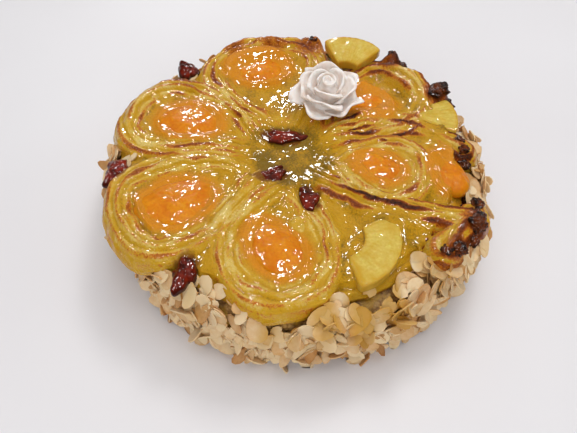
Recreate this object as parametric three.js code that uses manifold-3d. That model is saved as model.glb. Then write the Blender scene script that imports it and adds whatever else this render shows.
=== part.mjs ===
// A round Swedish sponge cake. The sponge is coated with flaked almonds. On top lies almond paste,
// piped through a star nozzle into petals and browned in the oven. Apricot halves, pineapple wedges
// and cherries sit in the paste, and a sugar rose stands behind the middle.
// Millimetres, +Z up. The origin is the middle of the underside, and -Y is the front of the cake.
import * as THREE from "three";
import { mergeVertices } from "three/addons/utils/BufferGeometryUtils.js";
import Module from "manifold-3d";

const wasm = await Module();
wasm.setup();

// Driving dimensions
const SPONGE_RADIUS = 120;
const SPONGE_HEIGHT = 42.5;
const PASTE_FLOOR = 6; // thickness of the paste between the piped bands
const BAND_HEIGHT = 15; // from the sponge to the middle crest of a band
const CREST_SPACING = 7.2; // between the three crests that the nozzle leaves on a band
const FINENESS = 0.08; // details smaller than this are left out of the cut solids
const GAP = 0.35; // left between pieces that touch

const SPONGE_MIDDLE = { x: 4, y: -1 }; // the piping sits a little to the left on the sponge
const SPONGE_EDGE = 6; // radius of the sponge's top edge
const SPONGE_BULGE = 1.5; // how far the side swells halfway up
const FLOOR_RADIUS = 114; // of the spread paste under the bands
const PASTE_BASE = SPONGE_HEIGHT + GAP;
const PASTE_TOP = PASTE_BASE + PASTE_FLOOR;
const REST = GAP + 0.05; // height of the fruit above the floor of the paste
const GROOVE_DEPTH = 3;
const BAND_HALF = 1.55 * CREST_SPACING; // half the width of a band
const BAND_STEPS = 16;
const RIM_DROOP = 5; // how far the paste sags outside the sponge
const TIP_SPREAD = 30; // distance over which a lifted tip falls away
const CROWN_FADE = 0.45; // share of the band height that is left in the middle

// Piped loops: direction of the petal in degrees from +X, distance of the band's line from the middle
// at its root and at its tip, half its width, how round its tip is (1 is an ellipse, less is squarer),
// how much further out its left shoulder lies, and how far the baked tip stands up.
const LOOPS = [
  { name: "back", angle: 103, root: 20, reach: 110, half: 38, blunt: 0.65, skew: -2, lift: 7 },
  { name: "back_left", angle: 159, root: 20, reach: 115, half: 29, blunt: 0.7, skew: 2, lift: 1 },
  { name: "front_left", angle: 212, root: 22, reach: 119, half: 31, blunt: 0.75, skew: 0, lift: 0 },
  { name: "front", angle: 265, root: 24, reach: 108, half: 29, blunt: 0.9, skew: 0, lift: -1 },
  { name: "right", angle: 346, root: 30, reach: 85, half: 23, blunt: 0.95, skew: 0, lift: 0 },
  { name: "back_right", angle: 40, root: 24, reach: 109, half: 29, blunt: 0.65, skew: 4, lift: 9 },
];
const LOOP_POINT = 1.1; // how pointed the root of a loop is

// Piped arms from the middle to the rim: distance and direction of both ends, and how early (under 1)
// or late (over 1) the direction changes. The last one is the hooked end of the right front arm.
const ARMS = [
  { from: 28, to: 112, start: 30, end: 2, bend: 1.75, lift: 2 },
  { from: 34, to: 121, start: -52, end: -28, bend: 0.6, lift: 3 },
  { from: 121, to: 119, start: -25, end: -39, bend: 1, lift: 3 },
];

// Lumps of paste that stand highest and burn: place, height over the floor and radius
const LUMPS = [
  { x: 73, y: 91, up: 9.5, radius: 7 },
  { x: 104, y: 56, up: 8, radius: 8 },
  { x: 94, y: -73, up: 6, radius: 7 },
  { x: 112, y: -60, up: 6.5, radius: 7 },
  { x: 14, y: 113, up: 11, radius: 6.5 },
];

// Fruit: place, heading of its long axis in degrees, and size. Apricots and cherries are ovals.
const APRICOTS = [
  { x: -26, y: 86, turn: 5, long: 24, wide: 17 },
  { x: -70, y: 27, turn: -10, long: 23, wide: 19 },
  { x: -70, y: -45, turn: 25, long: 25, wide: 19 },
  { x: -8, y: -78, turn: -52, long: 23, wide: 16 },
  { x: 57, y: -12, turn: -30, long: 18, wide: 13 },
  { x: 56, y: 49, turn: -50, long: 19, wide: 14 },
  { x: 101, y: -17, turn: -72, long: 18, wide: 13 },
];
const APRICOT_HEIGHT = 9.5;
const CHERRIES = [
  { x: -79, y: 86, turn: -55, long: 11, wide: 7 },
  { x: -112, y: -18, turn: 70, long: 11, wide: 7 },
  { x: -59, y: -95, turn: 80, long: 12, wide: 7.5 },
  { x: -5, y: 18, turn: -5, long: 13, wide: 6.5 },
  { x: -13, y: -17, turn: 35, long: 11, wide: 6.5 },
  { x: 12, y: -37, turn: -82, long: 10, wide: 5.5 },
];
const CHERRY_HEIGHT = 7.5;
// Pineapple wedges: the point that their cut sides meet at, heading of the middle of the arc, opening,
// radius of the arc and of the cut out core, height over the floor of the paste, and how far the outer
// end tips down.
const PINEAPPLES = [
  { x: 38, y: 73, heading: 77, opening: 74, radius: 37, core: 12, lift: 5.5, tip: -9 },
  { x: 78, y: 32, heading: 3, opening: 58, radius: 36, core: 9, lift: 3.5, tip: 3 },
  { x: 29, y: -70, heading: -23, opening: 102, radius: 37, core: 15, lift: 0, tip: 0 },
];
const PINEAPPLE_THICK = 10;

// The rose leans to the front. Each ring of petals: how many, where the first one is, its radius, the
// heights of its foot and lip, and half the angle that a petal spans.
const ROSE = { x: 24, y: 50, lean: 12, height: 24 };
const ROSE_FOOT = SPONGE_HEIGHT + BAND_HEIGHT - 1;
const ROSE_STEM = 15; // radius of the base that the petals stand on
const ROSE_SHEET = 1.5; // thickness of a sugar petal
const ROSE_RINGS = [
  { count: 3, start: 20, radius: 11, low: 6, high: 24, spread: 70 },
  { count: 4, start: 75, radius: 17.5, low: 3, high: 20, spread: 56 },
  { count: 5, start: 20, radius: 23, low: 1, high: 13, spread: 44 },
];
const PETAL_SWEEP = 2.5; // a petal's one edge is tucked in and the other stands out by this
const PETAL_RUFFLE = 1;

const FLAKES = 84;
const FLAKE = { long: 9, wide: 5.6, thick: 1.5, points: 6 }; // half length and half width
const FLAKE_TOP = 48; // height that the almonds reach

const COLOURS = {
  sponge: 0xd9b583,
  paste: 0xc19a35,
  apricot: 0xe58a1e,
  cherry: 0x55100c,
  pineapple: 0xd8c45a,
  rose: 0xe9e0dc,
};

// Seeded numbers from 0 to 1, the same on every run
function seeded(seed) {
  let state = seed;
  return () => {
    state = (state * 1664525 + 1013904223) % 4294967296;
    return state / 4294967296;
  };
}

const radians = THREE.MathUtils.degToRad;
const smooth = (x, low, high) => THREE.MathUtils.smoothstep(x, low, high);

// A closed geometry as a solid
function solidOf(geometry) {
  const bare = geometry.clone();
  for (const name of ["normal", "uv"]) bare.deleteAttribute(name);
  const merged = mergeVertices(bare, 1e-4);
  return new wasm.Manifold(
    new wasm.Mesh({
      numProp: 3,
      vertProperties: new Float32Array(merged.attributes.position.array),
      triVerts: new Uint32Array(merged.index.array),
    }),
  );
}

// A solid as a geometry with flat faces
function geometryOf(solid) {
  const { numProp, numVert, triVerts, vertProperties } = solid.getMesh();
  const places = new Float32Array(numVert * 3);
  for (let i = 0; i < numVert; i++)
    places.set(vertProperties.subarray(i * numProp, i * numProp + 3), i * 3);
  const geometry = new THREE.BufferGeometry();
  geometry.setAttribute("position", new THREE.BufferAttribute(places, 3));
  geometry.setIndex(new THREE.BufferAttribute(triVerts, 1));
  geometry.computeVertexNormals();
  return geometry;
}

// The body of a solid without the splinters that cutting can leave
function largest(solid) {
  return solid.decompose().reduce((best, next) => (next.volume() > best.volume() ? next : best));
}

// Moves each vertex by a function of its place
function warp(geometry, move) {
  const places = geometry.attributes.position;
  const point = new THREE.Vector3();
  for (let i = 0; i < places.count; i++) {
    point.fromBufferAttribute(places, i);
    move(point);
    places.setXYZ(i, point.x, point.y, point.z);
  }
  return geometry;
}

// The line of a piped loop: it leaves the middle, rounds the tip and comes back. It starts where its
// two legs are a band apart.
class LoopLine extends THREE.Curve {
  constructor(loop) {
    super();
    this.loop = loop;
    const share = (LOOP_POINT + 1) / (LOOP_POINT + 2);
    this.widest = 2 * Math.sqrt(share ** (LOOP_POINT + 1) * (1 - share));
    this.start = 0.3;
    while (this.across(this.start) < 1.08 * BAND_HALF) this.start += 0.01;
  }

  across(turn) {
    const { half, blunt } = this.loop;
    const swing = Math.sin(turn);
    const pinch = Math.sin(turn / 2) ** LOOP_POINT / this.widest;
    return half * Math.sign(swing) * Math.abs(swing) ** blunt * pinch;
  }

  getPoint(t, target = new THREE.Vector3()) {
    const { angle, root, reach, skew } = this.loop;
    const turn = this.start + t * 2 * (Math.PI - this.start);
    const length = reach - root + skew * Math.sin(turn);
    target.set(root + (length * (1 - Math.cos(turn))) / 2, this.across(turn), PASTE_BASE);
    return target.applyAxisAngle(new THREE.Vector3(0, 0, 1), radians(angle));
  }
}

// The line of a piped arm: its direction changes as it goes out
class ArmLine extends THREE.Curve {
  constructor(arm) {
    super();
    this.arm = arm;
  }

  getPoint(t, target = new THREE.Vector3()) {
    const { from, to, start, end, bend } = this.arm;
    const distance = from + (to - from) * t;
    const direction = radians(start + (end - start) * t ** bend);
    return target.set(distance * Math.cos(direction), distance * Math.sin(direction), PASTE_BASE);
  }
}

// The section of a piped band, three crests high. Along an extruded path x points down.
function bandSection() {
  const groove = BAND_HEIGHT - GROOVE_DEPTH;
  const flank = [
    [BAND_HALF * 0.95, 1],
    [BAND_HALF * 1.03, BAND_HEIGHT * 0.5],
    [CREST_SPACING, BAND_HEIGHT - 1],
    [CREST_SPACING / 2, groove],
  ];
  const left = flank.map(([across, high]) => new THREE.Vector2(-high, -across));
  const right = flank.map(([across, high]) => new THREE.Vector2(-high, across)).reverse();
  const crest = new THREE.Vector2(-BAND_HEIGHT, 0);
  const underside = new THREE.Vector2(-1, 0);
  return new THREE.Shape([...left, crest, ...right, underside]);
}

function bandAlong(line, steps) {
  return new THREE.ExtrudeGeometry(bandSection(), { steps, extrudePath: line });
}

// Moves a point of the level paste to where baking leaves it: the bands sink into the crown in the
// middle, the tips stand up, and the rim sags outside the sponge.
function bake(point) {
  const distance = Math.hypot(point.x, point.y);
  const outside = Math.hypot(point.x - SPONGE_MIDDLE.x, point.y - SPONGE_MIDDLE.y) - SPONGE_RADIUS;
  const above = point.z - PASTE_BASE;
  const fade = CROWN_FADE + (1 - CROWN_FADE) * smooth(distance, 14, 44);
  let shift = Math.sin(point.x / 13) * Math.cos(point.y / 17);
  for (const piece of [...LOOPS, ...ARMS]) {
    const tip = radians(piece.angle ?? piece.end);
    const reach = piece.reach ?? piece.to;
    const off = Math.hypot(point.x - reach * Math.cos(tip), point.y - reach * Math.sin(tip));
    shift += piece.lift * Math.exp(-((off / TIP_SPREAD) ** 2));
  }
  const ridge = smooth(above, PASTE_FLOOR, BAND_HEIGHT);
  point.z = PASTE_BASE + above * fade + shift * ridge - RIM_DROOP * smooth(outside, -2, 10);
}

// The sponge without its almonds
function spongeGeometry() {
  const top = SPONGE_HEIGHT;
  const side = SPONGE_RADIUS;
  const profile = [
    [0, 0],
    [side - 2, 0],
    [side + SPONGE_BULGE, SPONGE_HEIGHT * 0.4],
    [side, top - SPONGE_EDGE],
    [side - SPONGE_EDGE * 0.3, top - SPONGE_EDGE * 0.3],
    [side - SPONGE_EDGE, top],
    [0, top],
  ].map(([across, high]) => new THREE.Vector2(across, high));
  const lathe = new THREE.LatheGeometry(profile, 40).rotateX(Math.PI / 2);
  return lathe.translate(SPONGE_MIDDLE.x, SPONGE_MIDDLE.y, 0);
}

// One almond flake, a pointed oval lying in its own XY plane
function flakeGeometry(long, wide) {
  const points = [];
  for (let i = 0; i < FLAKE.points; i++) {
    const turn = (2 * Math.PI * i) / FLAKE.points;
    const blunt = 1 - 0.25 * Math.cos(turn);
    points.push(new THREE.Vector2(long * Math.cos(turn), wide * Math.sin(turn) * blunt));
  }
  const options = { depth: FLAKE.thick, steps: 1, bevelEnabled: false };
  const flake = new THREE.ExtrudeGeometry(new THREE.Shape(points), options);
  return flake.translate(0, 0, -FLAKE.thick / 2);
}

// Almond flakes pressed into the side, larger ones first, in rows that wind round the cake
function flakeSolids() {
  const random = seeded(11);
  const solids = [];
  const golden = Math.PI * (3 - Math.sqrt(5));
  for (let i = 0; i < FLAKES; i++) {
    const size = 1.15 - (0.35 * i) / FLAKES;
    const long = FLAKE.long * size;
    const wide = FLAKE.wide * size;
    const around = i * golden + 0.2 * random();
    const spin = Math.PI * random();
    const twist = (random() - 0.5) * 0.9;
    const lean = 0.15 + 0.6 * random();
    const tall = long * Math.abs(Math.cos(spin)) + wide * Math.abs(Math.sin(spin)) + 1;
    const height = tall + (FLAKE_TOP - 2 * tall) * ((i * 0.37) % 1);
    const flake = flakeGeometry(long, wide);
    flake.rotateZ(spin).rotateX(twist);
    flake.rotateY(Math.PI / 2 - lean); // its face now looks along +X and a little up
    flake.translate(SPONGE_RADIUS - 0.6 + random(), 0, height);
    flake.rotateZ(around).translate(SPONGE_MIDDLE.x, SPONGE_MIDDLE.y, 0);
    solids.push(solidOf(flake));
  }
  return solids;
}

// The sponge with the flakes that lie clear of the paste
function almondSponge(paste) {
  const sponge = solidOf(spongeGeometry());
  const clear = flakeSolids().filter((flake) => flake.minGap(paste, 2 * GAP) > GAP);
  return largest(wasm.Manifold.union([sponge, ...clear]).simplify(FINENESS));
}

// An apricot half or a cherry lying on the paste: a lumpy oval dome with a shallow crease
function domeGeometry({ x, y, turn, long, wide }, height, crease, margin, segments) {
  const [around, down] = segments;
  const dome = new THREE.SphereGeometry(1, around, down).rotateX(Math.PI / 2);
  const cut = -0.35; // height of the flat underside on the round ball
  warp(dome, (point) => {
    const lump = 1 + 0.05 * Math.sin(3 * Math.atan2(point.y, point.x) + long);
    const high = (Math.max(point.z, cut) - cut) / (1 - cut);
    const dip = crease * Math.exp(-((point.y / 0.25) ** 2)) * high;
    point.x *= (long + margin) * lump;
    point.y *= (wide + margin) * lump;
    point.z = high * (height + 2 * margin) - margin - dip;
  });
  return dome.rotateZ(radians(turn)).translate(x, y, PASTE_TOP + REST);
}

function apricotGeometry(apricot, margin = 0) {
  return domeGeometry(apricot, APRICOT_HEIGHT, 1.2, margin, [11, 6]);
}

function cherryGeometry(cherry, margin = 0) {
  return domeGeometry(cherry, CHERRY_HEIGHT, 0.8, margin, [8, 5]);
}

// A wedge of a pineapple ring, thicker at its rim, tipped about its point
function pineappleGeometry(wedge, margin = 0) {
  const { x, y, heading, opening, radius, core, lift, tip } = wedge;
  const half = radians(opening) / 2;
  const outline = new THREE.Shape();
  outline.absarc(0, 0, radius, -half, half, false);
  outline.absarc(0, 0, core, half, -half, true);
  const options = { depth: PINEAPPLE_THICK - 2, steps: 1, curveSegments: 4 };
  const bevel = { bevelThickness: 1, bevelSize: 1, bevelOffset: -1, bevelSegments: 1 };
  const slab = new THREE.ExtrudeGeometry(outline, { ...options, ...bevel });
  const middle = (radius + core) / 2;
  warp(slab, (point) => {
    point.x = middle + ((point.x - middle) * (radius + 2 * margin)) / radius;
    point.y *= 1 + (2 * margin) / (radius * Math.sin(half));
    point.z = (point.z - 1) * (1 + margin / 4) - margin;
  });
  slab.rotateY(radians(tip)).rotateZ(radians(heading));
  return slab.translate(x, y, PASTE_TOP + REST + lift);
}

// A thin sheet as a closed solid: both faces share one grid, and its rim is stitched shut
function sheetGeometry(columns, rows, thickness, place) {
  const grid = new THREE.PlaneGeometry(2, 1, columns, rows);
  warp(grid, (point) => place(point.x, point.y + 0.5, point));
  grid.computeVertexNormals();
  const { position, normal } = grid.attributes;
  const count = position.count;
  const places = [];
  for (const side of [0.5, -0.5])
    for (let i = 0; i < count; i++)
      for (const axis of ["X", "Y", "Z"])
        places.push(position[`get${axis}`](i) + side * thickness * normal[`get${axis}`](i));
  const front = Array.from(grid.index.array);
  const faces = [...front];
  for (let i = 0; i < front.length; i += 3)
    faces.push(front[i + 2] + count, front[i + 1] + count, front[i] + count);
  const rim = [];
  for (let i = 0; i < columns; i++) rim.push(i);
  for (let j = 0; j < rows; j++) rim.push(j * (columns + 1) + columns);
  for (let i = columns; i > 0; i--) rim.push(rows * (columns + 1) + i);
  for (let j = rows; j > 0; j--) rim.push(j * (columns + 1));
  rim.forEach((from, i) => {
    const to = rim[(i + 1) % rim.length];
    faces.push(from, to, to + count, from, to + count, from + count);
  });
  const sheet = new THREE.BufferGeometry();
  sheet.setAttribute("position", new THREE.Float32BufferAttribute(places, 3));
  sheet.setIndex(faces);
  return sheet;
}

// One sugar petal: it rises from the stem, opens outwards and rolls over at its lip
function rosePetal(ring, number) {
  const middle = radians(ring.start + (360 / ring.count) * number);
  const spread = radians(ring.spread);
  const foot = ROSE_STEM * 0.4;
  return sheetGeometry(4, 3, ROSE_SHEET, (u, v, point) => {
    const roll = v ** 3;
    const ruffle = PETAL_RUFFLE * Math.sin(3 * u + 2 * number) * v;
    const open = foot + (ring.radius - foot) * Math.sin((v * Math.PI) / 2);
    const distance = open + PETAL_SWEEP * u * v + ruffle;
    const angle = middle + u * spread * (1 - 0.25 * roll);
    const rise = (ring.high - ring.low) * (v - 0.2 * roll - 0.18 * u * u * v);
    point.set(distance * Math.cos(angle), distance * Math.sin(angle), ring.low + rise * 1.15);
  });
}

// The bud in the middle of the rose, a strip rolled up one and a half times
function roseBud() {
  const turns = 3 * Math.PI;
  return sheetGeometry(14, 1, ROSE_SHEET, (u, v, point) => {
    const wound = ((u + 1) / 2) * turns;
    const distance = (1.5 + wound * 0.6) * (0.7 + 0.3 * v);
    const rise = ROSE.height * (0.5 + 0.5 * v) - wound * 0.25;
    point.set(distance * Math.cos(wound), distance * Math.sin(wound), rise);
  });
}

// The cone that the petals stand on, its foot sunk in the paste
function roseStem(margin) {
  const profile = [
    [0, -4],
    [ROSE_STEM * 0.8, -4],
    [ROSE_STEM, 3],
    [ROSE_STEM * 0.75, 9],
    [6, 15],
    [4, 21],
    [0, 21],
  ].map(([across, high]) => new THREE.Vector2(across ? across + margin : 0, high));
  profile[0].y -= margin;
  profile[1].y -= margin;
  return new THREE.LatheGeometry(profile, 12).rotateX(Math.PI / 2);
}

// Leans something made round the rose's own axis and sets it on the cake
function inPlace(geometry) {
  return geometry.rotateX(radians(ROSE.lean)).translate(ROSE.x, ROSE.y, ROSE_FOOT);
}

function roseSolid() {
  const sheets = ROSE_RINGS.flatMap((ring) =>
    Array.from({ length: ring.count }, (_, number) => rosePetal(ring, number)),
  );
  const whole = [roseStem(0), roseBud(), ...sheets].map(outward);
  return largest(wasm.Manifold.union(whole).simplify(FINENESS));
}

// A solid whose faces point out, whichever way its sheet was wound
function outward(geometry) {
  const solid = solidOf(geometry);
  if (solid.volume() > 0) return solid;
  const turned = geometry.clone();
  const faces = turned.index.array;
  for (let i = 0; i < faces.length; i += 3) [faces[i], faces[i + 1]] = [faces[i + 1], faces[i]];
  return solidOf(turned);
}

// The piped paste: floor, loops and arms in one, sagged over the rim, with a pocket for each fruit
function pipedPaste() {
  const floorProfile = [
    [0, PASTE_BASE],
    [FLOOR_RADIUS - 6, PASTE_BASE],
    [FLOOR_RADIUS, PASTE_BASE + 2],
    [FLOOR_RADIUS - 4, PASTE_TOP],
    [52, PASTE_TOP],
    [42, PASTE_TOP + 7.5],
    [0, PASTE_TOP + 12],
  ].map(([across, high]) => new THREE.Vector2(across, high));
  const floor = new THREE.LatheGeometry(floorProfile, 26).rotateX(Math.PI / 2);
  const bands = [
    ...LOOPS.map((loop) => bandAlong(new LoopLine(loop), BAND_STEPS)),
    ...ARMS.map((arm) => bandAlong(new ArmLine(arm), 6)),
  ];
  const piped = [floor, ...bands].map((geometry) => solidOf(warp(mergedGeometry(geometry), bake)));
  const lumps = LUMPS.map(({ x, y, up, radius }) => {
    const lump = new THREE.IcosahedronGeometry(radius, 1);
    return solidOf(lump.scale(1, 1, 0.8).translate(x, y, PASTE_TOP + up));
  });
  const pockets = [
    ...APRICOTS.map((apricot) => apricotGeometry(apricot, GAP)),
    ...CHERRIES.map((cherry) => cherryGeometry(cherry, GAP)),
    ...PINEAPPLES.map((wedge) => pineappleGeometry(wedge, GAP)),
    inPlace(roseStem(GAP)),
  ].map(solidOf);
  const whole = wasm.Manifold.union([...piped, ...lumps]);
  return largest(whole.subtract(wasm.Manifold.union(pockets)).simplify(FINENESS));
}

function mergedGeometry(geometry) {
  const bare = geometry.clone();
  for (const name of ["normal", "uv"]) bare.deleteAttribute(name);
  return mergeVertices(bare, 1e-4);
}

function material(colour, roughness) {
  return new THREE.MeshStandardMaterial({ color: colour, roughness, metalness: 0 });
}

function piece(name, geometry, finish) {
  const mesh = new THREE.Mesh(geometry, finish);
  mesh.name = name;
  return mesh;
}

function cake() {
  const group = new THREE.Group();
  const glazedApricot = material(COLOURS.apricot, 0.25);
  const glazedCherry = material(COLOURS.cherry, 0.2);
  const glazedPineapple = material(COLOURS.pineapple, 0.3);
  const paste = pipedPaste();
  group.add(piece("sponge", geometryOf(almondSponge(paste)), material(COLOURS.sponge, 0.8)));
  group.add(piece("piped_paste", geometryOf(paste), material(COLOURS.paste, 0.3)));
  APRICOTS.forEach((apricot, i) =>
    group.add(piece(`apricot_${i + 1}`, apricotGeometry(apricot), glazedApricot)),
  );
  CHERRIES.forEach((cherry, i) =>
    group.add(piece(`cherry_${i + 1}`, cherryGeometry(cherry), glazedCherry)),
  );
  PINEAPPLES.forEach((wedge, i) =>
    group.add(piece(`pineapple_${i + 1}`, pineappleGeometry(wedge), glazedPineapple)),
  );
  const rose = inPlace(geometryOf(roseSolid()));
  group.add(piece("sugar_rose", rose, material(COLOURS.rose, 0.75)));
  return group;
}

export default cake();
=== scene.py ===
"""Looks of a round Swedish sponge cake: almond sides, piped and browned almond paste, glazed fruit
and a sugar rose. Sizes in the classes are millimetres in the cake's frame, with -Y to the front."""

import logging
import math
import random
from collections.abc import Callable
from dataclasses import dataclass
from enum import Enum
from functools import partial

import bpy
import numpy as np
from mathutils import Matrix, Vector, noise


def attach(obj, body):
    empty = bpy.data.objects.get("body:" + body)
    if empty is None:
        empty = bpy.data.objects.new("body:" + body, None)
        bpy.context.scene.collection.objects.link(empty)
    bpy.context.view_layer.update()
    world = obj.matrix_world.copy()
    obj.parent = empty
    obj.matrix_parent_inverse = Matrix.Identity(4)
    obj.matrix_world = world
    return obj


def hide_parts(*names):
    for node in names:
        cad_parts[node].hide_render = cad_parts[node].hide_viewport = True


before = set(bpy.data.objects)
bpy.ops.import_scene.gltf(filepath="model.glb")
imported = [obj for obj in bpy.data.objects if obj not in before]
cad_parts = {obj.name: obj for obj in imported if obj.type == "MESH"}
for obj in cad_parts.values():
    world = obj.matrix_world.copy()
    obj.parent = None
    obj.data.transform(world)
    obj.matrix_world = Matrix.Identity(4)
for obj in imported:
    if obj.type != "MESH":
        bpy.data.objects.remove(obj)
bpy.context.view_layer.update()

LOG = logging.getLogger("cake")
MM = 0.001
FULL_TURN = 2 * math.pi
GOLDEN_ANGLE = math.pi * (3 - math.sqrt(5))

Array = np.ndarray
Surface = Callable[[Array, Array], Array]
AddNode = Callable[..., bpy.types.NodeSocket]
Inputs = dict[str, bpy.types.NodeSocket | float | tuple[float, ...]]
# Layers of noise, each with its height, its width in millimetres and its seed.
Layers = tuple[tuple[float, float, float], ...]


def linear(code: str) -> tuple[float, float, float, float]:
    """Turns an sRGB colour into linear light.

    Args:
        code: six hex digits.

    Returns:
        Red, green, blue and an alpha of one.
    """
    parts = [int(code[i : i + 2], 16) / 255 for i in (0, 2, 4)]
    light = [part / 12.92 if part <= 0.04045 else ((part + 0.055) / 1.055) ** 2.4 for part in parts]
    return light[0], light[1], light[2], 1.0


def scale(width: float) -> float:
    """A texture's scale for features of a width in millimetres."""
    return 1 / (width * MM)


def add_node(
    tree: bpy.types.NodeTree,
    kind: str,
    settings: dict | None = None,
    links: dict | None = None,
    out: str | int = 0,
) -> bpy.types.NodeSocket:
    """Adds one shader node.

    Args:
        tree: the material's node tree.
        kind: the node's type, without the words that all types start with.
        settings: values by property, input name or input number; "stops" are a ramp's colours.
        links: outputs by the input that they go to.
        out: which output is wanted.

    Returns:
        The wanted output of the new node.
    """
    node = tree.nodes.new(f"ShaderNode{kind}")
    for name, value in (settings or {}).items():
        if name == "stops":
            while len(node.color_ramp.elements) < len(value):
                node.color_ramp.elements.new(0.5)
            for element, (place, code) in zip(node.color_ramp.elements, value):
                element.position = place
                element.color = linear(code)
        elif isinstance(name, str) and hasattr(node, name):
            setattr(node, name, value)
        else:
            node.inputs[name].default_value = value
    for name, socket in (links or {}).items():
        tree.links.new(socket, node.inputs[name])
    return node.outputs[out]


def smoothstep(value: Array, low: float, high: float) -> Array:
    """Rises smoothly from 0 at low to 1 at high."""
    share = np.clip((value - low) / (high - low), 0, 1)
    return share * share * (3 - 2 * share)


def bell(value: Array, width: float, power: int = 2) -> Array:
    """1 at nought and about a third at the width, squarer for a higher power."""
    return np.exp(-((value / width) ** power))


def fading(away: Array, width: float) -> Array:
    """1 up to nought, then about a third of what it was after each width."""
    return np.exp(-np.maximum(away, 0) / width)


def soft_max(first: Array, second: Array, blend: float) -> Array:
    """The larger of two heights, with a fillet of about the blend's size where they meet."""
    near = np.clip(1 - np.abs(first - second) / blend, 0, 1)
    return np.maximum(first, second) + near * near * blend / 4


def wander(points: Array, size: float, seed: float) -> Array:
    """Smooth noise between about -1 and 1.

    Args:
        points: places in millimetres, one row each.
        size: width of one lump in millimetres.
        seed: moves the pattern.

    Returns:
        One value for each point.
    """
    places = points / size + np.array([seed, 2.7 * seed, 5.1 * seed])
    return np.array([noise.noise(Vector(place)) for place in places])


def uneven(points: Array, layers: Layers) -> Array:
    """The sum of some layers of noise."""
    return sum(height * wander(points, size, seed) for height, size, seed in layers)


def polar(out: Array, around: Array, up: Array) -> Array:
    """Places from their distance to the middle, direction and height."""
    return np.column_stack([out * np.cos(around), out * np.sin(around), up])


def turned(along: Array | float, across: Array | float, heading: float) -> tuple:
    """Turns places by a heading in degrees, into x and y."""
    c, s = math.cos(math.radians(heading)), math.sin(math.radians(heading))
    return along * c - across * s, along * s + across * c


def moved(points: Array, place: Matrix) -> Array:
    """Points after a turn and a shift."""
    rows = np.array(place)
    return points @ rows[:3, :3].T + rows[:3, 3]


def spin(angle: float, axis: str) -> Matrix:
    """A turn about one axis, in radians."""
    return Matrix.Rotation(angle, 4, axis)


def points_of(piece: bpy.types.Object) -> Array:
    """Reads where a piece's points are.

    Args:
        piece: the object.

    Returns:
        Places in its mesh, one row each.
    """
    flat = np.empty(len(piece.data.vertices) * 3)
    piece.data.vertices.foreach_get("co", flat)
    return flat.reshape(-1, 3)


def move_points(piece: bpy.types.Object, places: Array) -> None:
    """Moves a piece's points to places in millimetres."""
    piece.data.vertices.foreach_set("co", (places * MM).ravel())
    piece.data.update()


def shaped_grid(name: str, columns: int, rows: int, place: Surface) -> bpy.types.Object:
    """Adds a grid and moves its points to a surface.

    Args:
        name: the new object's name.
        columns: cells along the surface's first direction.
        rows: cells along its second direction.
        place: gives places in millimetres for both directions, which run from 0 to 1.

    Returns:
        The object, with its place in its mesh.
    """
    bpy.ops.object.select_all(action="DESELECT")
    bpy.ops.mesh.primitive_grid_add(x_subdivisions=columns, y_subdivisions=rows, size=2)
    piece = bpy.context.object
    piece.name = name
    flat = points_of(piece)
    move_points(piece, place((flat[:, 0] + 1) / 2, (flat[:, 1] + 1) / 2))
    return piece


def paint(piece: bpy.types.Object, name: str, values: Array) -> None:
    """Stores one value per vertex for the materials to read."""
    layer = piece.data.attributes.new(name, "FLOAT", "POINT")
    layer.data.foreach_set("value", np.asarray(values, dtype=np.float32))


def smooth(piece: bpy.types.Object) -> None:
    """Shades all faces smooth."""
    piece.data.polygons.foreach_set("use_smooth", [True] * len(piece.data.polygons))


def close_up(piece: bpy.types.Object, fill: bool = False) -> None:
    """Merges doubled seam points, closes an open rim and turns all faces outwards.

    Args:
        piece: the object to mend.
        fill: whether an open rim gets one face.
    """
    bpy.context.view_layer.objects.active = piece
    bpy.ops.object.mode_set(mode="EDIT")
    bpy.ops.mesh.select_all(action="SELECT")
    bpy.ops.mesh.remove_doubles(threshold=2e-6)
    if fill:
        bpy.ops.mesh.select_all(action="DESELECT")
        bpy.ops.mesh.select_non_manifold()
        bpy.ops.mesh.edge_face_add()
        bpy.ops.mesh.select_all(action="SELECT")
    bpy.ops.mesh.normals_make_consistent(inside=False)
    bpy.ops.object.mode_set(mode="OBJECT")
    smooth(piece)


def joined(pieces: list[bpy.types.Object], name: str) -> bpy.types.Object:
    """Joins pieces into one.

    Args:
        pieces: the objects.
        name: what the whole is called.

    Returns:
        The whole.
    """
    bpy.ops.object.select_all(action="DESELECT")
    for piece in pieces:
        piece.select_set(True)
    bpy.context.view_layer.objects.active = pieces[0]
    bpy.ops.object.join()
    pieces[0].name = name
    return pieces[0]


def hand_in(piece: bpy.types.Object, nodes: list[str], dressing: bpy.types.Material) -> None:
    """Dresses a finished piece, ties it to the frame and reports it.

    Args:
        piece: the finished object.
        nodes: the solids that the piece stands for.
        dressing: its material.
    """
    piece.data.materials.clear()
    piece.data.materials.append(dressing)
    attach(piece, "root")
    if nodes:
        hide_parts(*nodes)
    LOG.info("%s: %d faces, for %s", piece.name, len(piece.data.polygons), ", ".join(nodes) or "no node")


class Finish:
    """What all finishes share: each says what goes into its main shader."""

    name: str = "finish"

    def inputs(self, node: AddNode, place: bpy.types.NodeSocket) -> Inputs:
        """Values and outputs by the main shader's input; each finish has its own."""
        raise NotImplementedError

    def material(self) -> bpy.types.Material:
        """Builds the material.

        Returns:
            The material, dressed on the object's coordinates.
        """
        dressing = bpy.data.materials.new(self.name)
        dressing.use_nodes = True
        tree = dressing.node_tree
        node = partial(add_node, tree)
        shader = tree.nodes["Principled BSDF"]
        for name, value in self.inputs(node, node("TexCoord", out="Object")).items():
            if isinstance(value, bpy.types.NodeSocket):
                tree.links.new(value, shader.inputs[name])
            else:
                shader.inputs[name].default_value = value
        return dressing


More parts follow.
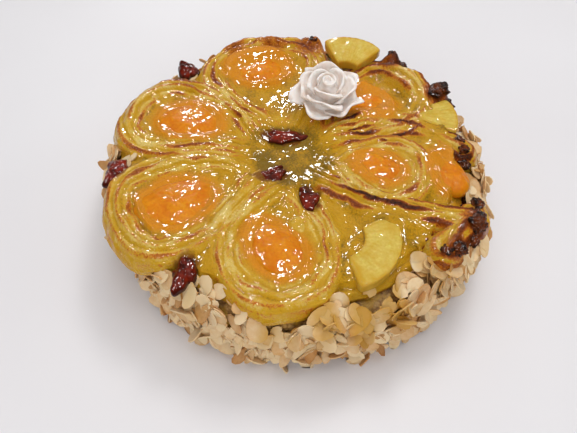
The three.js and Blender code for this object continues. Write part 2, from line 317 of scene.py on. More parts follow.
@dataclass(frozen=True)
class BakedPaste(Finish):
    """Almond paste of ground almonds, sugar and egg, piped, baked and brushed with clear glaze.
    Its crests are pale and grainy or browned, the glaze lies amber in the grooves and round the
    fruit, and it gives sharp wet highlights."""

    name: str = "baked_almond_paste"
    crest: str = "E0C36C"
    golden: str = "CFA026"
    pooled: str = "C6920E"
    # deep is partly the colour of glaze lying thick and partly painted shade of the sunk middle
    deep: str = "86660E"
    juicy: str = "D8890C"
    toasted: str = "C2731A"
    browned: str = "843A04"
    charred: str = "1E0A03"
    stained: str = "5E1406"
    grain_mm: float = 1.2
    patch_mm: float = 12.0
    wave_mm: float = 7.0
    bead_mm: float = 3.0
    grain_relief_mm: float = 0.8
    wave_relief_mm: float = 1.5
    bead_relief_mm: float = 0.5

    def inputs(self, node: AddNode, place: bpy.types.NodeSocket) -> Inputs:
        """Mixes the colours by the values that the paste carries, and lays glaze over them.

        Args:
            node: adds a node.
            place: the object's coordinates.

        Returns:
            Values and outputs by the main shader's input.
        """
        pooled, juice, baked, stain = (
            node("Attribute", {"attribute_name": layer}, out="Fac")
            for layer in ("pooled", "juice", "baked", "stain")
        )
        patches = node("TexNoise", {"Scale": scale(self.patch_mm), "Detail": 4.0}, {"Vector": place})
        grains = node("TexNoise", {"Scale": scale(self.grain_mm), "Detail": 3.0}, {"Vector": place})
        tone = node("Math", {"operation": "MULTIPLY_ADD", 1: 0.5}, {0: pooled, 2: patches})
        meal = node("Math", {"operation": "MULTIPLY_ADD", 1: -0.65}, {0: grains, 2: tone})
        # the darkest stop is painted shade where the middle sinks, as well as thick glaze
        by_depth_and_shade = [(0.02, self.crest), (0.27, self.golden), (0.66, self.pooled), (0.95, self.deep)]
        body = node("ValToRGB", {"stops": by_depth_and_shade}, {"Fac": meal})
        juicy = node("Mix", {"data_type": "RGBA", 7: linear(self.juicy)}, {0: juice, 6: body}, 2)
        grainy = node("Math", {"operation": "MULTIPLY_ADD", 1: 1.1, 2: -0.58}, {0: grains})
        browning = node("Math", {"operation": "ADD"}, {0: baked, 1: grainy})
        share = node("MapRange", {"From Min": 0.1, "From Max": 0.36}, {"Value": browning})
        depth = node("Math", {"operation": "MULTIPLY", 1: 0.58}, {0: browning})
        by_heat = [(0.2, self.toasted), (0.45, self.browned), (0.9, self.charred)]
        crust = node("ValToRGB", {"stops": by_heat}, {"Fac": depth})
        browned = node("Mix", {"data_type": "RGBA"}, {0: share, 6: juicy, 7: crust}, 2)
        stained = node("Mix", {"data_type": "RGBA", 7: linear(self.stained)}, {0: stain, 6: browned}, 2)
        meal_relief = {"Strength": 0.9, "Distance": self.grain_relief_mm * MM}
        crumb = node("Bump", meal_relief, {"Height": grains})
        flowing = {"Scale": scale(self.wave_mm), "Detail": 0.0, "Distortion": 1.0}
        waves = node("TexNoise", flowing, {"Vector": place})
        still = {"From Min": 1.0, "From Max": 1.4, "To Min": 0.65, "To Max": 0.15}
        calm = node("MapRange", still, {"Value": pooled})
        wet = node("Bump", {"Distance": self.wave_relief_mm * MM}, {"Strength": calm, "Height": waves})
        shiny = {"From Min": 0.1, "From Max": 0.55, "To Min": 0.5, "To Max": 1.0}
        gloss = node("MapRange", shiny, {"Value": pooled})
        dulled = {"operation": "MULTIPLY_ADD", "use_clamp": True, 1: -0.35}
        coated = node("Math", dulled, {0: baked, 2: gloss})
        beads = node("TexNoise", {"Scale": scale(self.bead_mm), "Detail": 0.0}, {"Vector": place})
        level = {"From Min": 0.2, "From Max": 0.7, "To Min": 0.5, "To Max": 0.03}
        rough = node("MapRange", level, {"Value": pooled})
        beading = {"Strength": rough, "Height": beads, "Normal": wet}
        glaze = node("Bump", {"Distance": self.bead_relief_mm * MM}, beading)
        return {
            "Base Color": stained,
            "Normal": crumb,
            "Coat Normal": glaze,
            "Coat Weight": coated,
            "Coat Roughness": 0.02,
            "Roughness": 0.5,
            "IOR": 1.45,
            "Specular IOR Level": 0.15,
            "Subsurface Weight": 0.12,
            "Subsurface Radius": (1.0, 0.6, 0.2),
            "Subsurface Scale": 2 * MM,
        }


@dataclass(frozen=True)
class GlazedFruit(Finish):
    """Cooked or preserved fruit under clear glaze: moist flesh with a fine grain, darker in its
    hollows, lit from within, with sharp highlights on the glaze."""

    name: str = "glazed_fruit"
    deep: str = "D67406"
    light: str = "E69312"
    rim: str = "D8890C"
    grain_mm: float = 2.0
    relief_mm: float = 0.5
    wave_mm: float = 6.0
    wave_relief_mm: float = 1.4
    inner_glow: float = 0.3
    glow_radius: tuple[float, float, float] = (1.0, 0.4, 0.08)
    gloss: float = 1.0

    def inputs(self, node: AddNode, place: bpy.types.NodeSocket) -> Inputs:
        """Mottles the flesh, colours its border by the attribute "rim" and lays glaze over it.

        Args:
            node: adds a node.
            place: the object's coordinates.

        Returns:
            Values and outputs by the main shader's input.
        """
        grain = node("TexNoise", {"Scale": scale(self.grain_mm), "Detail": 3.0}, {"Vector": place})
        patches = node("TexNoise", {"Scale": scale(5 * self.grain_mm)}, {"Vector": place})
        mixed = node("Math", {"operation": "MULTIPLY"}, {0: grain, 1: patches})
        flesh = node("ValToRGB", {"stops": [(0.12, self.deep), (0.4, self.light)]}, {"Fac": mixed})
        rim = node("Attribute", {"attribute_name": "rim"}, out="Fac")
        whole = node("Mix", {"data_type": "RGBA", 7: linear(self.rim)}, {0: rim, 6: flesh}, 2)
        pulp = node("Bump", {"Strength": 0.6, "Distance": self.relief_mm * MM}, {"Height": grain})
        flowing = {"Scale": scale(self.wave_mm), "Detail": 0.0, "Distortion": 0.8}
        waves = node("TexNoise", flowing, {"Vector": place})
        wet = node("Bump", {"Strength": 0.7, "Distance": self.wave_relief_mm * MM}, {"Height": waves})
        faint = {"Strength": 0.06, "Distance": self.relief_mm * MM}
        glaze = node("Bump", faint, {"Height": grain, "Normal": wet})
        return {
            "Base Color": whole,
            "Normal": pulp,
            "Coat Normal": glaze,
            "Coat Weight": self.gloss,
            "Coat Roughness": 0.02,
            "Roughness": 0.4,
            "IOR": 1.4,
            "Specular IOR Level": 0.15,
            "Subsurface Weight": self.inner_glow,
            "Subsurface Radius": self.glow_radius,
            "Subsurface Scale": 4 * MM,
        }


@dataclass(frozen=True)
class ToastedAlmond(Finish):
    """Flaked blanched almonds, toasted: dry ivory faces, tan to brown towards one end, and some
    that are soaked in glaze which ran down from the paste."""

    name: str = "toasted_almond"
    ivory: str = "EACFA4"
    tan: str = "D3A46C"
    brown: str = "A5672B"
    soaked: str = "C9951F"
    grain_mm: float = 2.5
    relief_mm: float = 0.3

    def inputs(self, node: AddNode, place: bpy.types.NodeSocket) -> Inputs:
        """Browns the flakes by the attribute "toast" and wets them by "glaze".

        Args:
            node: adds a node.
            place: the object's coordinates.

        Returns:
            Values and outputs by the main shader's input.
        """
        grain = node("TexNoise", {"Scale": scale(self.grain_mm), "Detail": 4.0}, {"Vector": place})
        toast = node("Attribute", {"attribute_name": "toast"}, out="Fac")
        glaze = node("Attribute", {"attribute_name": "glaze"}, out="Fac")
        tone = node("Math", {"operation": "MULTIPLY_ADD", 1: 0.4}, {0: grain, 2: toast})
        by_heat = [(0.25, self.ivory), (0.62, self.tan), (1.0, self.brown)]
        dry = node("ValToRGB", {"stops": by_heat}, {"Fac": tone})
        colour = node("Mix", {"data_type": "RGBA", 7: linear(self.soaked)}, {0: glaze, 6: dry}, 2)
        bump = node("Bump", {"Strength": 0.4, "Distance": self.relief_mm * MM}, {"Height": grain})
        return {
            "Base Color": colour,
            "Normal": bump,
            "Coat Weight": glaze,
            "Coat Roughness": 0.2,
            "Roughness": 0.55,
            "IOR": 1.45,
            "Specular IOR Level": 0.3,
            "Subsurface Weight": 0.2,
            "Subsurface Radius": (1.0, 0.7, 0.4),
            "Subsurface Scale": 1.5 * MM,
        }


@dataclass(frozen=True)
class SpongeCrumb(Finish):
    """Airy baked sponge: a dry tan crumb full of small holes, with glaze soaked in."""

    name: str = "sponge_crumb"
    # the holes' dark brown is painted shade in the pores of the crumb
    hole: str = "8A5F28"
    crumb: str = "C99F5C"
    glazed: str = "C79A33"
    hole_mm: float = 2.2
    relief_mm: float = 0.8

    def inputs(self, node: AddNode, place: bpy.types.NodeSocket) -> Inputs:
        """Opens holes in the crumb and soaks patches of it in glaze.

        Args:
            node: adds a node.
            place: the object's coordinates.

        Returns:
            Values and outputs by the main shader's input.
        """
        holes = node("TexVoronoi", {"Scale": scale(self.hole_mm)}, {"Vector": place})
        patches = node("TexNoise", {"Scale": scale(6 * self.hole_mm), "Detail": 3.0}, {"Vector": place})
        # the crumb darkens to the hole colour in its pits: painted shade
        crumb = node("ValToRGB", {"stops": [(0.35, self.crumb), (0.8, self.hole)]}, {"Fac": holes})
        soaked = node("MapRange", {"From Min": 0.52, "From Max": 0.62}, {"Value": patches})
        whole = node("Mix", {"data_type": "RGBA", 7: linear(self.glazed)}, {0: soaked, 6: crumb}, 2)
        pitted = {"Strength": 0.8, "Distance": self.relief_mm * MM, "invert": True}
        bump = node("Bump", pitted, {"Height": holes})
        return {"Base Color": whole, "Normal": bump, "Roughness": 0.7}


@dataclass(frozen=True)
class SugarPaste(Finish):
    """Rolled sugar paste: off-white, matt and a little waxy, mottled at random with a warmer tone that is
    painted shade of its folds.
    """

    name: str = "sugar_paste"
    # fold is a painted shade tone and face a lit tone of the same sugar paste
    fold: str = "E2CFC0"
    face: str = "F6EEE8"
    dust_mm: float = 6.0
    relief_mm: float = 0.2

    def inputs(self, node: AddNode, place: bpy.types.NodeSocket) -> Inputs:
        """Mottles the white a little.

        Args:
            node: adds a node.
            place: the object's coordinates.

        Returns:
            Values and outputs by the main shader's input.
        """
        # the lit tone and the painted shade tone are mixed at random by noise
        dust = node("TexNoise", {"Scale": scale(self.dust_mm), "Detail": 3.0}, {"Vector": place})
        return {
            "Base Color": node("ValToRGB", {"stops": [(0.3, self.fold), (0.55, self.face)]}, {"Fac": dust}),
            "Normal": node("Bump", {"Strength": 0.15, "Distance": self.relief_mm * MM}, {"Height": dust}),
            "Roughness": 0.6,
            "Subsurface Weight": 0.25,
            "Subsurface Radius": (1.0, 0.75, 0.6),
            "Subsurface Scale": 2 * MM,
        }


@dataclass(frozen=True)
class PaleBoard(Finish):
    """A plain pale table top, matt, with a faint unevenness."""

    name: str = "pale_board"
    dark: str = "E4E0E1"
    light: str = "E9E6E7"
    patch_mm: float = 250.0

    def inputs(self, node: AddNode, place: bpy.types.NodeSocket) -> Inputs:
        """Mottles the board faintly."""
        mottle = node("TexNoise", {"Scale": scale(self.patch_mm)}, {"Vector": place})
        stops = [(0.3, self.dark), (0.7, self.light)]
        return {"Base Color": node("ValToRGB", {"stops": stops}, {"Fac": mottle}), "Roughness": 0.6}


@dataclass(frozen=True)
class Loop:
    """A piped petal: a band that leaves the middle, rounds the tip and comes back.
    Angles in degrees; blunt says how square the tip is, lift how far baking raised it."""

    angle: float
    root: float
    reach: float
    half: float
    blunt: float
    skew: float
    lift: float
    browning: float
    point: float = 1.1
    gap: float = 0.02
    steps: int = 260

    def line(self) -> Array:
        """Follows the middle of the band.

        Returns:
            Points in millimetres, one row each.
        """
        turn = np.linspace(self.gap, FULL_TURN - self.gap, self.steps)
        share = (self.point + 1) / (self.point + 2)
        widest = 2 * math.sqrt(share ** (self.point + 1) * (1 - share))
        swing = np.sin(turn)
        pinch = np.sin(turn / 2) ** self.point / widest
        across = self.half * np.sign(swing) * np.abs(swing) ** self.blunt * pinch
        length = self.reach - self.root + self.skew * swing
        along = self.root + length * (1 - np.cos(turn)) / 2
        return np.column_stack(turned(along, across, self.angle))

    def tip(self) -> tuple[float, float]:
        """Where the tip lies."""
        return turned(self.reach, 0, self.angle)


@dataclass(frozen=True)
class Arm:
    """A piped band from the middle to the rim, whose direction changes as it goes out."""

    start_distance: float
    end_distance: float
    start: float
    end: float
    bend: float
    lift: float
    browning: float
    steps: int = 90

    def line(self) -> Array:
        """Follows the middle of the band.

        Returns:
            Points in millimetres, one row each.
        """
        share = np.linspace(0, 1, self.steps)
        distance = self.start_distance + (self.end_distance - self.start_distance) * share
        heading = np.radians(self.start + (self.end - self.start) * share**self.bend)
        return polar(distance, heading, share)[:, :2]

    def tip(self) -> tuple[float, float]:
        """Where the outer end lies."""
        return turned(self.end_distance, 0, self.end)


@dataclass(frozen=True)
class Lump:
    """Paste that swelled in the oven: place, height over the floor, radius and how burnt it is."""

    x: float
    y: float
    up: float
    radius: float
    burn: float


@dataclass(frozen=True)
class Oval:
    """A fruit lying on the paste: place, heading in degrees, half length and half width, and how
    far it has sunk."""

    x: float
    y: float
    turn: float
    long: float
    wide: float
    sink: float = 0.0

    def away(self, x: Array, y: Array) -> Array:
        """About how far points are outside the oval's rim, in millimetres."""
        along, across = turned(x - self.x, y - self.y, -self.turn)
        return (np.hypot(along / self.long, across / self.wide) - 1) * (self.long + self.wide) / 2


def nearest(ovals: tuple[Oval, ...], x: Array, y: Array) -> Array:
    """About how far points are outside the nearest of some ovals."""
    return np.min([oval.away(x, y) for oval in ovals], axis=0)


APRICOTS = (
    Oval(-26, 86, 5, 24, 17),
    Oval(-70, 27, -10, 23, 19),
    Oval(-70, -45, 25, 25, 19),
    Oval(-8, -78, -52, 23, 16),
    Oval(57, -12, -30, 18, 13),
    Oval(56, 49, -50, 19, 14),
    Oval(101, -17, -72, 18, 13),
)
CHERRIES = (
    Oval(-79, 86, -55, 11, 7),
    Oval(-112, -18, 70, 11, 7),
    Oval(-59, -95, 80, 12, 7.5),
    Oval(-5, 18, -5, 13, 6.5, 3.8),
    Oval(-13, -17, 35, 11, 6.5, 3.8),
    Oval(12, -37, -82, 10, 5.5, 2.5),
)
# Where jelly has risen round the two pineapple wedges that lie lowest.
WEDGE_BEDS = (Oval(51, -78, 62, 25, 15), Oval(101, 33, 90, 17, 14))


@dataclass
class PipedPaste:
    """The piped and browned almond paste on top of the sponge. The floor's outline is rows of
    distance from the middle and height."""

    base: float = 42.85
    floor: float = 6.0
    floor_outline: tuple[tuple[float, float], ...] = (
        (0, 15), (34, 11.5), (48, 6.4), (110, 6.4), (113, 4), (114, 0)
    )
    band_height: float = 15.0
    band_edge: tuple[float, float] = (11.3, 12.6)
    crest_spacing: float = 7.2
    groove: float = 2.2
    fine_spacing: float = 2.4
    fine_height: float = 0.18
    flank_width: float = 4.4
    hem: float = 10.7
    hem_width: float = 3.4
    hem_height: float = 1.3
    inner_sag: float = 1.8
    sway: Layers = ((2.3, 19, 3), (1.3, 8, 11))
    rises: Layers = ((1.6, 21, 1), (0.7, 6, 2))
    patches: Layers = ((1.0, 14, 8), (0.7, 40, 5))
    ripples: Layers = ((0.5, 13, 1), (0.4, 4.5, 4), (0.45, 2, 11))
    smears: Layers = ((4, 7, 2), (2, 3, 6))
    jelly: float = 7.4
    jelly_radius: float = 106.0
    sponge_middle: tuple[float, float] = (4.0, -1.0)
    sponge_radius: float = 120.0
    droop: float = 5.0
    tip_spread: float = 30.0
    crown_fade: float = 0.45
    spokes: int = 700
    rings: int = 136
    top_share: float = 0.88
    side_share: float = 0.6
    block: int = 8000
    half_step: float = 1.5
    loops: tuple[Loop, ...] = (
        Loop(103, 20, 110, 38, 0.65, -2, 7, 0.75),
        Loop(159, 20, 115, 29, 0.7, 2, 1, 0.6),
        Loop(212, 22, 117, 31, 0.75, 0, 0, 0.5),
        Loop(265, 24, 110, 29, 1.15, 3, -1, 0.5),
        Loop(346, 30, 85, 23, 0.95, 0, 0, 0.6),
        Loop(40, 24, 109, 29, 0.65, 4, 9, 1.3),
    )
    arms: tuple[Arm, ...] = (
        Arm(10, 112, 38, 2, 1.75, 2, 1.1),
        Arm(10, 121, -60, -28, 0.6, 3, 1.1),
        Arm(121, 119, -25, -39, 1, 3, 1.3),
    )
    lumps: tuple[Lump, ...] = (
        Lump(73, 91, 9.5, 7, 1.2),
        Lump(104, 56, 8, 8, 1.2),
        Lump(97, -77, 2, 5, 1.0),
        Lump(112, -60, 6.5, 7, 1.2),
        Lump(14, 112, 9, 9, 0.7),
        Lump(-16, 111, 3, 8, 0.6),
        Lump(-45, 104, 2, 7, 0.6),
    )
    bulb: Lump = Lump(6, -62, 13.2, 12.0, 0)

    def strip(self, signed: Array, travelled: Array, number: int, browning: float) -> Array:
        """Shapes one piped band: three crests, each with its own rise, sway and browning.

        Args:
            signed: distance across the band's middle line, in millimetres, positive on its left.
            travelled: distance along it.
            number: which band.
            browning: how brown it is on the whole, 0 to 1.

        Returns:
            Rows of height over the sponge, browning and pooled glaze.
        """
        strand = np.column_stack([travelled, 1.7 * signed, np.full_like(signed, 60.0 * number)])
        swayed = signed + uneven(strand, self.sway)
        crest = np.round(swayed / self.crest_spacing)
        thread = np.column_stack([travelled, 40.0 * crest, np.full_like(signed, 60.0 * number + 20)])
        rise = uneven(thread, self.rises)
        patchy = 0.6 + uneven(thread, self.patches)
        filled = np.clip(0.5 + 1.3 * wander(strand, 16, 6.0), 0, 1)
        away = np.abs(swayed)
        ridge = np.abs(np.cos(np.pi * swayed / self.crest_spacing)) ** 0.8
        fine = self.fine_height * np.cos(FULL_TURN * swayed / self.fine_spacing) * (1 - filled)
        level = self.band_height - (away / self.crest_spacing) ** 2
        inner = level - self.groove * (1.25 - 0.7 * filled) * (1 - ridge) + rise * ridge + fine
        edge = np.clip((away - self.crest_spacing) / self.flank_width, 0, 1)
        fold = self.hem_height * np.cos(FULL_TURN * (away - self.hem) / self.hem_width)
        flank = (self.band_height - 1 + rise) * (1 - 0.5 * edge**2) + fold * smoothstep(away, 8.2, 9.6)
        height = np.where(away < self.crest_spacing, inner, flank) * (1 - smoothstep(away, *self.band_edge))
        height -= self.inner_sag * smoothstep(-swayed, 1, 9)
        strength = browning * np.clip(patchy, 0.05, 1.25)
        start = np.clip(0.92 - 0.3 * strength, 0.55, 0.9)
        crust = 1.2 * strength * np.clip((ridge - start) / (1 - start), 0, 1)
        crust *= 1 - smoothstep(away, 8.5, 9.5)
        crust = np.maximum(crust, 0.8 * strength * bell(away - self.hem - 0.2, 0.7) * (patchy > 0.4))
        if number < len(self.loops):
            lined = 0.55 * browning + 0.3 * wander(thread, 9, 14.0)
            crust = np.maximum(crust, lined * bell(swayed - self.crest_spacing, 1.3))
        pooled = (1 - smoothstep(ridge, 0.25, 0.8)) * (0.4 + 0.6 * filled)
        return np.array([height, crust, np.where(away > 9, 0.35, pooled)])

    def relief(self, x: Array, y: Array) -> Array:
        """Finds the paste over each point.

        Args:
            x: places across the cake, in millimetres.
            y: places to the back, in millimetres.

        Returns:
            Rows of height before baking, browning and pooled glaze.
        """
        distance = np.hypot(x, y)
        heading = np.arctan2(y, x)
        places = np.column_stack([x, y, np.zeros_like(x)])
        above = np.interp(distance, *zip(*self.floor_outline))
        baked = np.zeros_like(x)
        pooled = np.full_like(x, 0.5)
        nearby = np.full_like(x, 99.0)
        fade = smoothstep(distance, 24, 48)
        for number, band in enumerate((*self.loops, *self.arms)):
            signed, travelled = self.beside(x, y, band.line())
            near = np.flatnonzero(np.abs(signed) < 17)
            height, crust, glaze = self.strip(signed[near], travelled[near], number, band.browning)
            kept = height > above[near]
            wins = near[kept]
            baked[wins] = crust[kept] * fade[wins]
            pooled[wins] = glaze[kept]
            above[near] = soft_max(above[near], height, 1.4)
            nearby = np.minimum(nearby, np.abs(signed))
        jelly = self.jelly + 3.6 * fading(nearby - 10.5, 6) + 3.6 * fading(nearest(APRICOTS, x, y), 5)
        jelly += 3.8 * fading(nearest(WEDGE_BEDS, x, y), 6)
        jelly += 0.9 * wander(places, 15, 12.0)
        jelly = np.where(distance < self.jelly_radius, jelly, 0)
        wet = smoothstep(jelly - above, -1.5, 0.5)
        above = soft_max(above, jelly, 3)
        baked *= 1 - wet
        pooled = np.maximum(pooled, wet)
        streaks = wander(np.column_stack([10 * heading, distance / 7, np.zeros_like(x)]), 1, 4.0)
        above += 0.6 * streaks * (1 - smoothstep(distance, 30, 52)) * smoothstep(distance, 8, 26)
        # pooled values above 1 in the sunk middle darken it towards the deepest colour as painted shade,
        # and calm its glaze
        pooled = np.maximum(pooled, 1.5 * (1 - smoothstep(distance, 20, 46)))
        bulb = self.bulb
        off = np.hypot(x - bulb.x, y - bulb.y)
        swirl = 0.8 * np.cos(10 * off / bulb.radius + np.arctan2(y - bulb.y, x - bulb.x))
        knob = (bulb.up + swirl + 1.5 * wander(places, 9, 15.0)) * bell(off, bulb.radius, 4)
        pooled = np.where(knob > above, 0.15, pooled)
        above = soft_max(above, knob, 3)
        for lump in self.lumps:
            shape = bell(np.hypot(x - lump.x, y - lump.y), 1.35 * lump.radius, 3)
            rugged = 1 + 0.25 * wander(places, 4, lump.x)
            above = soft_max(above, (self.floor + lump.up + 3) * rugged * shape, 2)
            baked = np.maximum(baked, lump.burn * shape * (1 + 0.6 * wander(places, 5, lump.y)))
        bowl = 8.0 + 1.2 * np.maximum(CHERRIES[-1].away(x, y), 0)
        above = -soft_max(-above, -bowl, 2)
        return np.array([above, baked, pooled])

    def beside(self, x: Array, y: Array, line: Array) -> tuple[Array, Array]:
        """Finds where points lie beside a line.

        Args:
            x: places across the cake, in millimetres.
            y: places to the back, in millimetres.
            line: points of the line, one row each.

        Returns:
            Distance across the line, positive on its left, and distance along it.
        """
        steps = np.gradient(line, axis=0)
        lengths = np.linalg.norm(steps, axis=1)
        ahead = steps / lengths[:, None]
        found = np.empty(len(x), int)
        for first in range(0, len(x), self.block):
            part = slice(first, first + self.block)
            square = (x[part, None] - line[None, :, 0]) ** 2 + (y[part, None] - line[None, :, 1]) ** 2
            found[part] = square.argmin(axis=1)
        off_x = x - line[found, 0]
        off_y = y - line[found, 1]
        across = off_y * ahead[found, 0] - off_x * ahead[found, 1]
        along = off_x * ahead[found, 0] + off_y * ahead[found, 1]
        away = np.hypot(across, np.maximum(np.abs(along) - self.half_step, 0))
        travelled = np.cumsum(lengths)[found] + np.clip(along, -self.half_step, self.half_step)
        return np.where(across < 0, -away, away), travelled

    def sag(self, x: Array, y: Array) -> Array:
        """How far the paste droops past the sponge's edge, in millimetres."""
        outside = np.hypot(x - self.sponge_middle[0], y - self.sponge_middle[1]) - self.sponge_radius
        return self.droop * smoothstep(outside, -2, 10)

    def baked_height(self, x: Array, y: Array, above: Array) -> Array:
        """Finds the height after baking: sunk in the middle, raised at the tips, sagged at the rim.

        Args:
            x: places across the cake, in millimetres.
            y: places to the back, in millimetres.
            above: height of the unbaked paste over its base.

        Returns:
            Height over the table.
        """
        distance = np.hypot(x, y)
        fade = self.crown_fade + (1 - self.crown_fade) * smoothstep(distance, 14, 44)
        shift = np.sin(x / 13) * np.cos(y / 17)
        for band in (*self.loops, *self.arms):
            tip_x, tip_y = band.tip()
            shift += band.lift * bell(np.hypot(x - tip_x, y - tip_y), self.tip_spread)
        ridge = smoothstep(above, self.floor, self.band_height)
        return self.base + above * fade + shift * ridge - self.sag(x, y)

    def outline(self) -> Array:
        """Finds how far the paste reaches.

        Returns:
            Distance from the middle along each spoke, in millimetres.
        """
        around = np.linspace(0, FULL_TURN, self.spokes, endpoint=False)
        steps = np.arange(104, 136, 0.5)
        heading, distance = np.meshgrid(around, steps, indexing="ij")
        above = self.relief((distance * np.cos(heading)).ravel(), (distance * np.sin(heading)).ravel())[0]
        inside = above.reshape(heading.shape) > 4
        reach = steps[inside.shape[1] - 1 - inside[:, ::-1].argmax(axis=1)]
        kernel = np.ones(5) / 5
        return np.convolve(np.concatenate([reach[-2:], reach, reach[:2]]), kernel, mode="valid")

    def build(self) -> bpy.types.Object:
        """Makes the paste.

        Returns:
            The paste, with its browning, its glaze and its stains stored on it.
        """
        reaches = self.outline()
        layers: dict[str, Array] = {}
        name = "piped_almond_paste"
        piece = shaped_grid(name, self.spokes, self.rings, lambda u, v: self.place(u, v, reaches, layers))
        for layer, values in layers.items():
            paint(piece, layer, values)
        close_up(piece, fill=True)
        return piece

    def place(self, u: Array, v: Array, reaches: Array, layers: dict[str, Array]) -> Array:
        """Places the paste's surface: rings out to the rim, then down the side and back under.

        Args:
            u: share of a turn round the cake.
            v: share of the way from the middle, over the rim, to the underside.
            reaches: how far the paste reaches, by direction.
            layers: filled with the values that the material reads.

        Returns:
            Places in millimetres.
        """
        around = FULL_TURN * u
        reach = np.interp(u * self.spokes, np.arange(self.spokes + 1), np.append(reaches, reaches[0]))
        distance = reach * np.clip(v / self.top_share, 0, 1) ** 0.9
        x = distance * np.cos(around)
        y = distance * np.sin(around)
        above, baked, pooled = self.relief(x, y)
        z = self.baked_height(x, y, above)
        flat = np.column_stack([x, y, np.zeros_like(x)])
        down = np.clip((v - self.top_share) / (1 - self.top_share), 0, 1)
        side = np.clip(down / self.side_share, 0, 1)
        under = np.clip((down - self.side_share) / (1 - self.side_share), 0, 1)
        ripple = uneven(flat, self.ripples) * (1 - 0.6 * np.clip(pooled, 0, 1))
        rough = 0.9 * wander(flat, 2.4, 7.0) * np.clip(baked, 0, 1)
        z += (ripple + rough) * smoothstep(above, 3, 7)
        low = self.base - self.sag(x, y) + 0.3
        bulge = 1.1 * np.sin(np.pi * side) + 0.7 * np.sin(3 * np.pi * side)
        bulge *= 1 + 0.5 * wander(flat, 11, 9.0)
        radius = distance + bulge - side * 0.8 - under * (distance - self.jelly_radius)
        z = z + (low - z) * side + under * (self.base + 0.1 - low)
        places = polar(radius, around, z)
        skirt = smoothstep(side, 0.5, 0.9) * np.clip(0.25 + 1.1 * wander(places, 9, 4.0), 0, 0.7)
        flesh = np.maximum(nearest(APRICOTS, x, y), 0) + 2 * wander(flat, 8, 17.0)
        dark = nearest(CHERRIES, x, y) + uneven(flat, self.smears)
        layers["baked"] = np.maximum(np.clip(baked * (1 - side), 0, 1.4), skirt)
        layers["pooled"] = pooled * (1 - side) + 0.4 * side
        layers["juice"] = bell(flesh, 4.5) * smoothstep(pooled, 0.3, 0.9)
        layers["stain"] = 0.7 * (1 - smoothstep(dark, -0.5, 2.5))
        return places

    def top(self, x: float, y: float) -> float:
        """Height of the baked paste at one place, in millimetres."""
        spot = np.array([float(x)]), np.array([float(y)])
        return float(self.baked_height(*spot, self.relief(*spot)[0])[0])


@dataclass
class CharredCrust:
    """Burnt knobs of paste on the raised tips, most of them on the right: place and radius."""

    paste: PipedPaste
    knobs: tuple[tuple[float, float, float], ...] = (
        (74, 92, 3.5),
        (80, 85, 4.5),
        (104, 56, 6.5),
        (110, 50, 5.0),
        (108, 62, 4.0),
        (114, 42, 3.5),
        (111, 9, 4.0),
        (113, 1, 3.5),
        (113, -6, 4.5),
        (112, -37, 5.0),
        (114, -45, 4.0),
        (113, -54, 4.5),
        (111, -61, 6.0),
        (107, -70, 4.5),
        (97, -79, 5.0),
        (90, -81, 3.5),
        (15, 112, 3.0),
    )
    flatness: float = 0.75
    sunk: float = 0.25

    def knob(self, number: int) -> bpy.types.Object:
        """Makes one knob: a ball with many lumps, partly sunk in the paste.

        Args:
            number: which one, from 0.

        Returns:
            The knob, painted as burnt paste.
        """
        x, y, radius = self.knobs[number]
        bpy.ops.object.select_all(action="DESELECT")
        bpy.ops.mesh.primitive_ico_sphere_add(subdivisions=5, radius=1)
        piece = bpy.context.object
        ball = points_of(piece)
        lumps = wander(ball, 0.8, 3.0 * number)
        crumbs = uneven(ball, ((0.26, 0.36, number + 7), (0.12, 0.17, number + 9)))
        swell = 0.95 + 0.5 * lumps + crumbs
        middle = np.array([x, y, self.paste.top(x, y) - self.sunk * radius])
        move_points(piece, middle + ball * (swell * radius)[:, None] * np.array([1, 1, self.flatness]))
        paint(piece, "baked", np.clip(1.35 + 0.6 * lumps, 0.9, 1.8))
        for layer, value in (("pooled", 0.9), ("juice", 0.0), ("stain", 0.0)):
            paint(piece, layer, np.full(len(ball), value))
        smooth(piece)
        return piece

    def build(self) -> bpy.types.Object:
        """Makes all knobs as one piece."""
        return joined([self.knob(number) for number in range(len(self.knobs))], "charred_crust")


